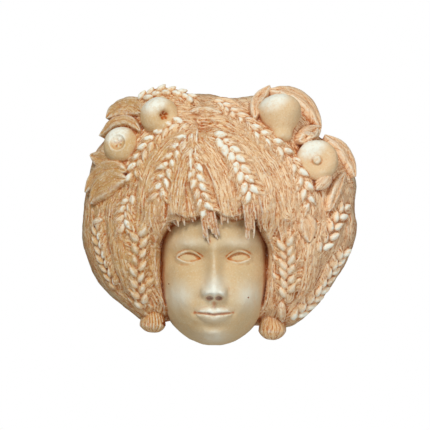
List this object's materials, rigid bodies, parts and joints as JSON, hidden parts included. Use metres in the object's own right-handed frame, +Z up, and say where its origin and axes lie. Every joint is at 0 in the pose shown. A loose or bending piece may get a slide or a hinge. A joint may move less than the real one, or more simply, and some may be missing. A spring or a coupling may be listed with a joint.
{
  "type": "terracotta wall mask",
  "caption": "Hollow-backed terracotta wall mask: a calm child's face in a thick wreath of wheat ears, straw, leaves and round fruit.",
  "frame": {"origin": "on the flat back of the mask, in the middle of the clay shelf above the nail notch, where it bears on the wall", "axes": "+X to the viewer's right, +Z up, +Y into the wall, so the face looks along -Y"},
  "size_m": [0.3, 0.1035, 0.2851],
  "materials": {
    "terracotta": "matt, unglazed, with an orange-brown stain left in the hollows and a worn pale slip on the high places"
  },
  "bodies": {
    "root": {"mask": "terracotta"}
  },
  "joints": []
}
